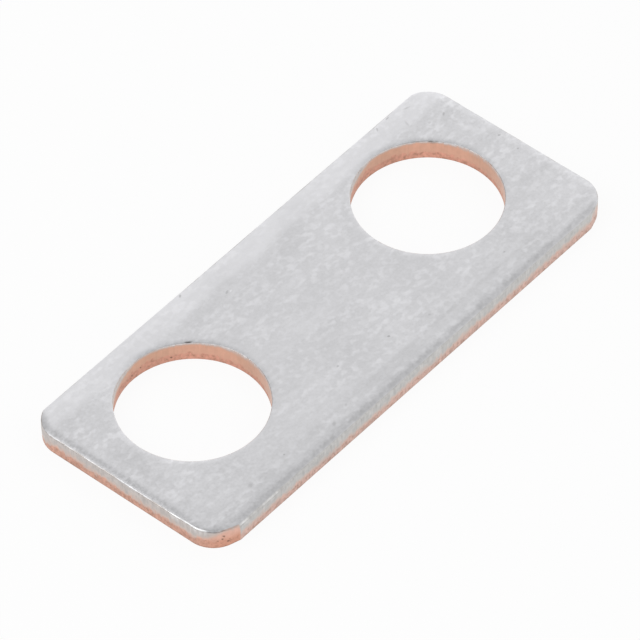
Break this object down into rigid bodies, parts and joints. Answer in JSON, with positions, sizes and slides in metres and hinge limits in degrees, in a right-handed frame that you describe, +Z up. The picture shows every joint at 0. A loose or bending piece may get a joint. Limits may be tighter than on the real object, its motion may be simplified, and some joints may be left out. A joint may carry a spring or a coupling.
{
  "type": "neutral link",
  "caption": "Flat tin-plated copper bar with rounded corners and a stud hole near each end, bolted across terminals to carry the neutral straight through.",
  "frame": {"origin": "centre of the bottom face, on the surface that the link lies on", "axes": "+X along the bar, +Y across it towards the long edge that the hole row is nearer to, +Z up out of the face that the cuts went in from"},
  "size_m": [0.0504, 0.0204, 0.0021],
  "materials": {
    "tinned_copper": "matt tin plate on the faces, bare copper on the cut edges"
  },
  "bodies": {
    "root": {"neutral_link": "tinned_copper"}
  },
  "joints": []
}
